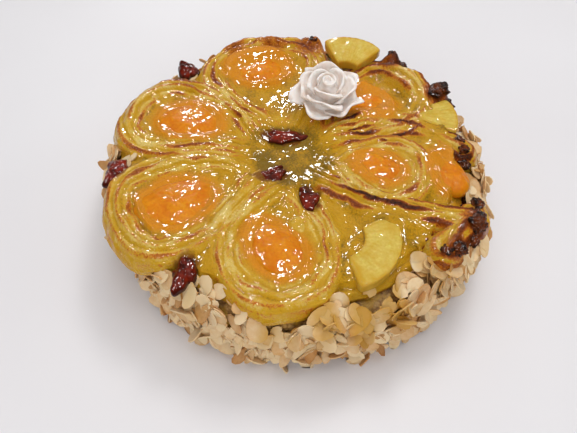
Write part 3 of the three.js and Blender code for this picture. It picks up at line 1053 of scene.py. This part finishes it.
@dataclass
class FruitHalves:
    """Fruit halves of one kind: lumpy domes with a shallow crease."""

    name: str
    slot: str
    ovals: tuple[Oval, ...]
    height: float
    crease: float
    lump: float
    ragged: float
    finish: Finish
    lumps: Layers = ((1.0, 6, 1), (0.5, 2.5, 5))
    crease_width: float = 0.25
    foot: float = 49.1
    cut: float = -0.35

    def build(self, number: int) -> bpy.types.Object:
        """Makes one half.

        Args:
            number: which one, from 0.

        Returns:
            The fruit, with the attribute "rim" at its foot.
        """
        oval = self.ovals[number]
        height = self.height - oval.sink

        def place(u: Array, v: Array) -> Array:
            """Places the dome.

            Args:
                u: share of the way round.
                v: share of the way from the top to the bottom.

            Returns:
                Places in millimetres.
            """
            around = FULL_TURN * u
            ball = polar(np.sin(np.pi * v), around, np.cos(np.pi * v))
            rim = polar(1, around, np.full_like(u, 9.0 * number))
            lump = 1 + 0.05 * np.sin(3 * around + oval.long) + self.ragged * wander(rim, 0.7, 2.0)
            high = (np.maximum(ball[:, 2], self.cut) - self.cut) / (1 - self.cut)
            dip = self.crease * bell(ball[:, 1], self.crease_width) * high
            x, y = turned(ball[:, 0] * oval.long * lump, ball[:, 1] * oval.wide * lump, oval.turn)
            places = np.column_stack([oval.x + x, oval.y + y, self.foot + high * height - dip])
            rough = self.lump * uneven(places, self.lumps) * smoothstep(high, 0.02, 0.25)
            return places + ball * rough[:, None]

        piece = shaped_grid(f"{self.name}_{number + 1}", 72, 36, place)
        high = (points_of(piece)[:, 2] / MM - self.foot) / height
        paint(piece, "rim", 1 - smoothstep(high, 0.4, 0.75))
        close_up(piece)
        return piece

    def make_all(self) -> None:
        """Makes and hands in every half."""
        dressing = self.finish.material()
        for number in range(len(self.ovals)):
            hand_in(self.build(number), [f"{self.slot}_{number + 1}"], dressing)


@dataclass(frozen=True)
class Wedge:
    """A piece of a pineapple ring: the point where its cut sides meet, heading and opening in
    degrees, radius of its rim and of the core, height over the paste and tilt in degrees."""

    x: float
    y: float
    heading: float
    opening: float
    radius: float
    core: float
    lift: float
    tilt: float


@dataclass
class PineappleWedges:
    """Wedges cut from pineapple rings, with fibres that run out from the core."""

    wedges: tuple[Wedge, ...] = (
        Wedge(38, 73, 77, 74, 37, 12, 5.5, -9),
        Wedge(78, 32, 3, 58, 36, 9, 3.5, 3),
        Wedge(29, -70, -23, 102, 37, 15, 0, 0),
    )
    thick: float = 9.0
    foot: float = 49.25
    fibre_width: float = 1.2
    fibre_length: float = 9.0
    rounding: float = 0.05
    cuts: int = 31

    def build(self, number: int) -> bpy.types.Object:
        """Makes one wedge: a cube with many cuts, bent into a ring segment with fibres.

        Args:
            number: which one, from 0.

        Returns:
            The wedge.
        """
        wedge = self.wedges[number]
        bpy.ops.object.select_all(action="DESELECT")
        bpy.ops.mesh.primitive_cube_add(size=2)
        piece = bpy.context.object
        piece.name = f"pineapple_wedge_{number + 1}"
        bpy.ops.object.mode_set(mode="EDIT")
        bpy.ops.mesh.subdivide(number_cuts=self.cuts)
        bpy.ops.object.mode_set(mode="OBJECT")
        box = points_of(piece)
        box = box * (1 - self.rounding * (np.abs(box[:, [1, 2, 0]]) ** 6 + np.abs(box[:, [2, 0, 1]]) ** 6))
        outward = (box[:, 0] + 1) / 2
        turn = box[:, 1] * math.radians(wedge.opening) / 2
        out = wedge.core + (wedge.radius - wedge.core) * outward
        along = turn * wedge.radius / self.fibre_width
        streak = np.column_stack([along, out / self.fibre_length, np.zeros_like(out)])
        fibre = 2.2 * wander(streak, 1.0, 2.0 + number)
        top = smoothstep(box[:, 2], 0.5, 0.95)
        up = self.thick * (box[:, 2] + 1) / 2 + top * (0.07 * fibre - 0.6 * (1 - outward))
        out = out + 0.12 * fibre * smoothstep(box[:, 0], 0.8, 1)
        local = polar(out, turn, up)
        local[:, 2] += 0.35 * wander(local, 5, 3.0 + number) * top
        place = Matrix.Translation((wedge.x, wedge.y, self.foot + wedge.lift))
        place = place @ spin(math.radians(wedge.heading), "Z") @ spin(math.radians(wedge.tilt), "Y")
        move_points(piece, moved(local, place))
        border = smoothstep(np.abs(box[:, :2]).max(axis=1) + 0.08 * fibre, 0.72, 0.98)
        paint(piece, "rim", np.maximum(np.clip(0.2 + 0.35 * fibre, 0, 0.5), border))
        close_up(piece)
        return piece

    def make_all(self) -> None:
        """Makes and hands in every wedge."""
        pale = ("D0AC42", "E0C868", "CDA02C")
        flesh = GlazedFruit("tinned_pineapple", *pale, grain_mm=1.6, relief_mm=0.25, inner_glow=0.35)
        dressing = flesh.material()
        for number in range(len(self.wedges)):
            hand_in(self.build(number), [f"pineapple_{number + 1}"], dressing)


class FlakeShape(Enum):
    """Kinds of almond flake, by length, width, the share broken off and how common they are."""

    WHOLE = (16.0, 10.0, 0.0, 4)
    NARROW = (15.0, 7.0, 0.0, 3)
    SMALL = (12.0, 8.5, 0.0, 3)
    BROKEN = (15.0, 10.0, 0.45, 7)
    CHIP = (9.0, 6.0, 0.3, 4)


@dataclass
class AlmondSponge:
    """The sponge and the flaked almonds on its side. Directions are in degrees."""

    middle: tuple[float, float] = (4.0, -1.0)
    radius: float = 120.0
    height: float = 42.5
    bulge: float = 1.5
    edge: float = 6.0
    crumbs: Layers = ((1.0, 7, 2), (0.6, 3, 5))
    side_flakes: int = 1350
    rim_flakes: int = 200
    laid_flakes: int = 60
    corners: int = 12
    thick: float = 0.9
    crease: float = 35.0
    covering: float = 119.0
    covered_top: float = 42.0
    bare_top: float = 46.5
    any_way: float = 6.3
    drip_heading: float = 74.0
    drip_width: float = 22.0
    laid_over: tuple[float, float] = (-50.0, -31.0)
    dent_heading: float = 217.0
    dent_width: float = 24.0
    dent: float = 5.0
    seed: int = 5

    def dented(self, around: Array | float) -> Array | float:
        """How far the side stands back under the overhanging petal, in millimetres."""
        return self.dent * bell(np.degrees(around) % 360 - self.dent_heading, self.dent_width)

    def sponge(self) -> bpy.types.Object:
        """Makes the sponge, its side rough with crumb.

        Returns:
            The sponge.
        """
        bevel = self.edge * 0.3
        outline = np.array(
            [
                [0, 0, 0],
                [0.12, self.radius - 2, 0],
                [0.45, self.radius + self.bulge, self.height * 0.4],
                [0.72, self.radius, self.height - self.edge],
                [0.82, self.radius - bevel, self.height - bevel],
                [0.88, self.radius - self.edge, self.height],
                [1, 0, self.height],
            ]
        )

        def place(u: Array, v: Array) -> Array:
            """Places the sponge's surface.

            Args:
                u: share of the way round.
                v: share of the way along the outline, from the bottom to the top.

            Returns:
                Places in millimetres.
            """
            around = FULL_TURN * u
            out, up = (np.interp(v, outline[:, 0], outline[:, column]) for column in (1, 2))
            rough = uneven(polar(out, around, up), self.crumbs)
            out = out + rough * smoothstep(v, 0.13, 0.2) * (1 - smoothstep(v, 0.85, 0.95))
            out = out - self.dented(around) * smoothstep(v, 0.02, 0.12) * (1 - smoothstep(v, 0.85, 1))
            return polar(out, around, up) + np.array([*self.middle, 0])

        piece = shaped_grid("sponge_layers", 420, 64, place)
        close_up(piece)
        return piece

    def flake(self, shape: FlakeShape, draw: random.Random) -> tuple[Array, list[tuple[int, ...]], Array]:
        """Shapes one flake in its own plane.

        Args:
            shape: its kind.
            draw: source of random numbers.

        Returns:
            Its points in millimetres, its faces, and how brown it is at each point.
        """
        long, wide, broken, _ = shape.value
        long *= draw.uniform(0.85, 1.2)
        wide *= draw.uniform(0.85, 1.15)
        around = FULL_TURN * np.arange(self.corners) / self.corners
        taper = 1 - draw.uniform(0.1, 0.32) * np.cos(around)
        ring = np.column_stack([np.cos(around) * long / 2, np.sin(around) * wide / 2 * taper])
        ring *= 1 + 0.05 * np.sin(3 * around + draw.uniform(0, 6))[:, None]
        if broken:
            ragged = long / 2 * (1 - 2 * broken) + 0.9 * np.sin(5 * around + draw.uniform(0, 6))
            slant = draw.uniform(-0.7, 0.7)
            ahead = np.array([math.cos(slant), math.sin(slant)])
            ring -= np.maximum(ring @ ahead - ragged, 0)[:, None] * ahead
        curl = draw.uniform(-0.008, 0.022)
        layers = []
        for side in (1, -1):
            for outline, height in ((ring, 0.38), (ring * 0.8, 0.5)):
                cup = curl * outline[:, 0] ** 2 + 0.012 * outline[:, 1] ** 2
                layers.append(np.column_stack([outline, cup + side * height * self.thick]))
        middle = [np.array([[ring[:, 0].mean() * 0.3, 0, side * 0.5 * self.thick]]) for side in (1, -1)]
        points = np.vstack([*layers, *middle])
        count = self.corners
        faces: list[tuple[int, ...]] = []
        for i in range(count):
            j = (i + 1) % count
            faces.append((i, j, count + j, count + i))
            faces.append((count + i, count + j, 4 * count))
            faces.append((2 * count + j, 2 * count + i, 3 * count + i, 3 * count + j))
            faces.append((3 * count + j, 3 * count + i, 4 * count + 1))
            faces.append((2 * count + i, 2 * count + j, j, i))
        overall = draw.uniform(-0.15, 0.3) if draw.random() < 0.85 else 0.5
        rim = np.hypot(points[:, 0] / long, points[:, 1] / wide) * 2
        toast = overall + draw.uniform(0, 0.3) * points[:, 0] / long + draw.uniform(0, 0.22) * rim**4
        return points, faces, toast

    def flakes(self, reaches: Array) -> bpy.types.Object:
        """Makes all flakes as one piece.

        Args:
            reaches: how far the paste reaches, by direction.

        Returns:
            The flakes, with "toast" and "glaze" stored on them.
        """
        draw = random.Random(self.seed)
        kinds = list(FlakeShape)
        points, faces, toasts = [], [], []
        start = 0
        for number in range(self.side_flakes + self.rim_flakes + self.laid_flakes):
            kind = draw.choices(kinds, [kind.value[3] for kind in kinds])[0]
            shape, shape_faces, toast = self.flake(kind, draw)
            around = number * GOLDEN_ANGLE + draw.uniform(-0.1, 0.1)
            if number < self.side_flakes:
                place = self.on_side(draw, around, reaches)
            elif number < self.side_flakes + self.rim_flakes:
                place = self.on_rim(draw, around, reaches)
            else:
                place = self.laid(draw, reaches)
            if place is None:
                continue
            settled = moved(shape, place)
            settled[:, 2] = np.maximum(settled[:, 2], 0.05)
            points.append(settled)
            faces.extend(tuple(start + i for i in face) for face in shape_faces)
            toasts.append(toast)
            start += len(toast)
        places = np.vstack(points)
        mesh = bpy.data.meshes.new("almond_flakes")
        mesh.from_pydata((places * MM).tolist(), [], faces)
        piece = bpy.data.objects.new("almond_flakes", mesh)
        bpy.context.scene.collection.objects.link(piece)
        paint(piece, "toast", np.concatenate(toasts))
        paint(piece, "glaze", self.run_off(places))
        bpy.ops.object.select_all(action="DESELECT")
        piece.select_set(True)
        bpy.context.view_layer.objects.active = piece
        bpy.ops.object.shade_smooth_by_angle(angle=math.radians(self.crease))
        return piece

    def run_off(self, places: Array) -> Array:
        """Finds how much glaze has run down the side.

        Args:
            places: points of the flakes, in millimetres.

        Returns:
            From 0, dry, to 1, soaked, for each point.
        """
        heading = np.degrees(np.arctan2(places[:, 1], places[:, 0]))
        front = bell(heading + self.drip_heading, self.drip_width)
        streams = wander(np.column_stack([heading / 5, places[:, 2] / 25, np.zeros(len(places))]), 1, 3.0)
        high = smoothstep(places[:, 2], 14, 40)
        return np.clip((0.1 + 1.7 * streams + 0.45 * front) * (0.2 + front) * high, 0, 0.7)

    @staticmethod
    def reach(reaches: Array, around: float) -> float:
        """How far the paste reaches in a direction given in radians."""
        return reaches[int(around % FULL_TURN / FULL_TURN * len(reaches)) % len(reaches)]

    def on_side(self, draw: random.Random, around: float, reaches: Array) -> Matrix:
        """Presses a flake into the side.

        Args:
            draw: source of random numbers.
            around: direction from the middle of the sponge.
            reaches: how far the paste reaches, by direction.

        Returns:
            The flake's place.
        """
        limit = self.bare_top if self.reach(reaches, around) < self.covering else self.covered_top
        height = 2 + (limit - 2) * draw.random()
        lean = abs(draw.gauss(0, 0.42)) + 0.08
        roll = spin(draw.uniform(0, FULL_TURN), "Z")
        out = self.radius + self.bulge * math.sin(math.pi * height / 50) + 0.3
        out += 2.8 * draw.random() + 4.0 * lean
        out -= float(self.dented(around))
        upright = spin(math.radians(90 - draw.uniform(0, 30)), "Y")
        swing = roll @ spin(lean, "X") @ spin(draw.uniform(0, self.any_way), "Z")
        place = Matrix.Translation((*self.middle, height)) @ spin(around, "Z")
        return place @ Matrix.Translation((out, 0, 0)) @ upright @ swing

    def laid(self, draw: random.Random, reaches: Array) -> Matrix:
        """Lays a flake over the paste's front right edge.

        Args:
            draw: source of random numbers.
            reaches: how far the paste reaches, by direction.

        Returns:
            The flake's place.
        """
        around = math.radians(draw.uniform(*self.laid_over))
        drop = draw.uniform(0, 1)
        out = self.reach(reaches, around) + 1.5 - 4 * (drop - 0.5) ** 2
        tip = spin(0.5 + 0.9 * drop + draw.gauss(0, 0.2), "Y")
        swing = spin(draw.gauss(0, 0.3), "X") @ spin(draw.uniform(0, self.any_way), "Z")
        return spin(around, "Z") @ Matrix.Translation((out, 0, 51 - 12 * drop)) @ tip @ swing

    def on_rim(self, draw: random.Random, around: float, reaches: Array) -> Matrix | None:
        """Drops a flake on the bare rim beside the paste.

        Args:
            draw: source of random numbers.
            around: direction from the middle of the sponge.
            reaches: how far the paste reaches, by direction.

        Returns:
            The flake's place, or None where paste covers the rim.
        """
        reach = self.reach(reaches, around)
        if reach > self.covering:
            return None
        out = draw.uniform(reach - 2, self.radius + 2)
        height = 49.5 - 0.35 * (out - reach) + draw.uniform(-1, 1)
        tip = spin(draw.uniform(0.1, 0.9), "Y")
        swing = spin(draw.gauss(0, 0.25), "X") @ spin(draw.uniform(0, self.any_way), "Z")
        place = Matrix.Translation((*self.middle, height)) @ spin(around, "Z")
        return place @ Matrix.Translation((out, 0, 0)) @ tip @ swing


@dataclass(frozen=True)
class PetalRing:
    """A ring of petals: how many, the first one's heading in degrees, radius, height of foot and
    lip, half the spread of one petal in degrees, and how deep its ruffle is."""

    count: int
    start: float
    radius: float
    low: float
    high: float
    spread: float
    ruffle: float


@dataclass
class SugarRose:
    """A rose of rolled sugar paste: three rings of petals round a spiral bud."""

    middle: tuple[float, float] = (24.0, 50.0)
    lean: float = 12.0
    foot: float = 56.5
    height: float = 24.0
    stem: float = 6.0
    sheet: float = 1.5
    rings: tuple[PetalRing, ...] = (
        PetalRing(3, 20, 11, 6, 24, 70, 0.4),
        PetalRing(4, 75, 17, 3, 20, 56, 1.3),
        PetalRing(5, 20, 21.5, 1, 13, 46, 2.4),
    )
    sweep: float = 2.5
    bud_turns: float = 1.5
    cone_outline: tuple[tuple[float, float], ...] = (
        (0, -4), (12, -4), (15, 3), (11.25, 9), (6, 15), (4, 21), (0, 21)
    )

    def rolled(self, name: str, columns: int, rows: int, place: Surface) -> bpy.types.Object:
        """Makes a rolled sheet with its thickness.

        Args:
            name: the new object's name.
            columns: cells across the sheet.
            rows: cells up the sheet.
            place: gives places in millimetres for both directions.

        Returns:
            The sheet.
        """
        piece = shaped_grid(name, columns, rows, place)
        sheet = {"thickness": self.sheet * MM, "offset": 0}
        for kind, settings in (("SOLIDIFY", sheet), ("SUBSURF", {"levels": 1, "render_levels": 1})):
            modifier = piece.modifiers.new(kind.title(), kind)
            for setting, value in settings.items():
                setattr(modifier, setting, value)
            bpy.ops.object.modifier_apply(modifier=modifier.name)
        return piece

    def petal(self, ring: PetalRing, number: int) -> bpy.types.Object:
        """Makes one petal that opens outwards and rolls over at its lip.

        Args:
            ring: the petal's ring.
            number: which petal of the ring.

        Returns:
            The petal, before the rose is leaned.
        """
        middle = math.radians(ring.start + 360 / ring.count * number)
        wide = math.radians(ring.spread)

        def place(u: Array, v: Array) -> Array:
            """Places the petal.

            Args:
                u: share of the way across.
                v: share of the way from the foot to the lip.

            Returns:
                Places in millimetres.
            """
            side = 2 * u - 1
            roll = v**3
            fold = 4.0 * side + 2.4 * number
            lip = smoothstep(v, 0.8, 1)
            opening = self.stem + (ring.radius - self.stem) * np.sin(v * np.pi / 2)
            out = opening + self.sweep * side * v + ring.ruffle * np.sin(fold) * v**2 + 1.2 * lip
            angle = middle + side * wide * (1 - 0.25 * roll)
            rise = (ring.high - ring.low) * (v - 0.2 * roll - 0.18 * side**2 * v)
            up = ring.low + rise * 1.15 - 1.3 * lip**2 + 0.6 * ring.ruffle * np.cos(fold) * v**2
            return polar(out, angle, up)

        return self.rolled("petal", 28, 16, place)

    def bud(self) -> bpy.types.Object:
        """Makes the bud, a strip that is rolled up.

        Returns:
            The bud.
        """

        def place(u: Array, v: Array) -> Array:
            """Places the strip.

            Args:
                u: share of the way along it.
                v: share of the way up it.

            Returns:
                Places in millimetres.
            """
            wound = u * self.bud_turns * FULL_TURN
            out = (1.5 + wound * 0.6) * (0.7 + 0.3 * v)
            return polar(out, wound, self.height * (0.5 + 0.5 * v) - wound * 0.25)

        return self.rolled("bud", 80, 8, place)

    def cone(self) -> bpy.types.Object:
        """Makes the cone that the petals stand on.

        Returns:
            The cone.
        """
        outline = np.array(self.cone_outline)
        corners = np.linspace(0, 1, len(outline))

        def place(u: Array, v: Array) -> Array:
            """Places on the cone; u goes round and v goes up."""
            out, up = (np.interp(v, corners, column) for column in outline.T)
            return polar(out, FULL_TURN * u, up)

        piece = shaped_grid("cone", 40, 24, place)
        close_up(piece)
        return piece

    def build(self) -> bpy.types.Object:
        """Makes the whole rose and sets it on the cake.

        Returns:
            The rose.
        """
        parts = [self.cone(), self.bud()]
        for ring in self.rings:
            parts += [self.petal(ring, number) for number in range(ring.count)]
        piece = joined(parts, "sugar_paste_rose")
        place = Matrix.Translation(Vector((*self.middle, self.foot)) * MM)
        piece.data.transform(place @ spin(math.radians(self.lean), "X"))
        smooth(piece)
        return piece


@dataclass
class PhotoCamera:
    """The camera, at the photograph's place and angle."""

    place: tuple[float, float, float] = (-0.775, -279.69, 337.98)
    down: float = 51.541
    roll: float = 1.197
    lens: float = 37.43
    sensor: float = 36.0
    closest: float = 0.01

    def build(self) -> None:
        """Adds the camera and makes it the scene's."""
        down = math.radians(self.down)
        roll = math.radians(self.roll)
        ahead = Vector((0, math.cos(down), -math.sin(down)))
        right = Vector((1, 0, 0))
        above = right.cross(ahead)
        across = right * math.cos(roll) + above * math.sin(roll)
        upward = above * math.cos(roll) - right * math.sin(roll)
        aim = Matrix((across, upward, -ahead)).transposed().to_4x4()
        bpy.ops.object.camera_add()
        camera = bpy.context.object
        camera.matrix_world = Matrix.Translation(Vector(self.place) * MM) @ aim
        camera.data.lens = self.lens
        camera.data.sensor_width = self.sensor
        camera.data.clip_start = self.closest
        bpy.context.scene.camera = camera


@dataclass(frozen=True)
class Lamp:
    """A square lamp: place and size in metres, power in watts. A glint lamp shows only as sharp
    highlights in the glaze, and the others light everything but don't mirror in it."""

    name: str
    place: tuple[float, float, float]
    size: float
    power: float
    glint: bool


@dataclass
class Studio:
    """Soft light and a plain pale table top."""

    lamps: tuple[Lamp, ...] = (
        Lamp("glint_back", (-0.25, 1.35, 0.85), 0.25, 10.5, True),
        Lamp("glint_left", (-0.95, 0.1, 1.3), 0.19, 5.0, True),
        Lamp("glint_front", (0.25, -0.2, 1.6), 0.26, 11.0, True),
        Lamp("glint_right", (0.9, 0.7, 1.2), 0.18, 4.6, True),
        Lamp("key", (0.45, 0.9, 1.5), 0.5, 10.0, False),
        Lamp("ceiling", (-0.1, 0.1, 1.7), 1.4, 9.0, False),
        Lamp("front_fill", (0.0, -1.5, 0.8), 0.9, 8.0, False),
    )
    room_colour: str = "F4F6FA"
    room_glow: float = 0.42
    table_width: float = 6.0

    def build(self) -> None:
        """Adds the lamps, the room's glow and the table top."""
        for lamp in self.lamps:
            bpy.ops.object.light_add(type="AREA", location=lamp.place)
            light = bpy.context.object
            light.name = lamp.name
            light.data.size = lamp.size
            light.data.energy = lamp.power
            light.visible_glossy = lamp.glint
            light.visible_diffuse = not lamp.glint
            light.rotation_euler = (-Vector(lamp.place)).to_track_quat("-Z", "Y").to_euler()
        world = bpy.data.worlds.new("room")
        bpy.context.scene.world = world
        world.use_nodes = True
        background = world.node_tree.nodes["Background"]
        background.inputs["Color"].default_value = linear(self.room_colour)
        background.inputs["Strength"].default_value = self.room_glow
        world.cycles_visibility.glossy = False
        bpy.context.scene.view_settings.view_transform = "Standard"
        bpy.ops.object.select_all(action="DESELECT")
        bpy.ops.mesh.primitive_plane_add(size=self.table_width)
        table = bpy.context.object
        table.name = "table_top"
        table.data.materials.append(PaleBoard().material())


def main() -> None:
    """Builds the cake's pieces in order and reports each."""
    logging.basicConfig(level=logging.INFO, format="%(message)s")
    PhotoCamera().build()
    Studio().build()
    paste = PipedPaste()
    almond_paste = BakedPaste().material()
    hand_in(paste.build(), ["piped_paste"], almond_paste)
    hand_in(CharredCrust(paste).build(), [], almond_paste)
    apricot = GlazedFruit("cooked_apricot")
    FruitHalves("apricot_half", "apricot", APRICOTS, 9.5, 0.3, 0.7, 0.08, apricot).make_all()
    cherry = GlazedFruit(
        "preserved_cherry",
        "300802",
        "8A2206",
        "3C1004",
        grain_mm=3.0,
        relief_mm=0.3,
        inner_glow=0.15,
        glow_radius=(1.0, 0.12, 0.04),
        gloss=0.6,
    )
    FruitHalves("cherry_half", "cherry", CHERRIES, 7.5, 0.8, 1.3, 0.5, cherry).make_all()
    PineappleWedges().make_all()
    cake = AlmondSponge()
    almonds = cake.flakes(paste.outline())
    hand_in(cake.sponge(), ["sponge"], SpongeCrumb().material())
    hand_in(almonds, [], ToastedAlmond().material())
    hand_in(SugarRose().build(), ["sugar_rose"], SugarPaste().material())


if __name__ == "__main__":
    main()
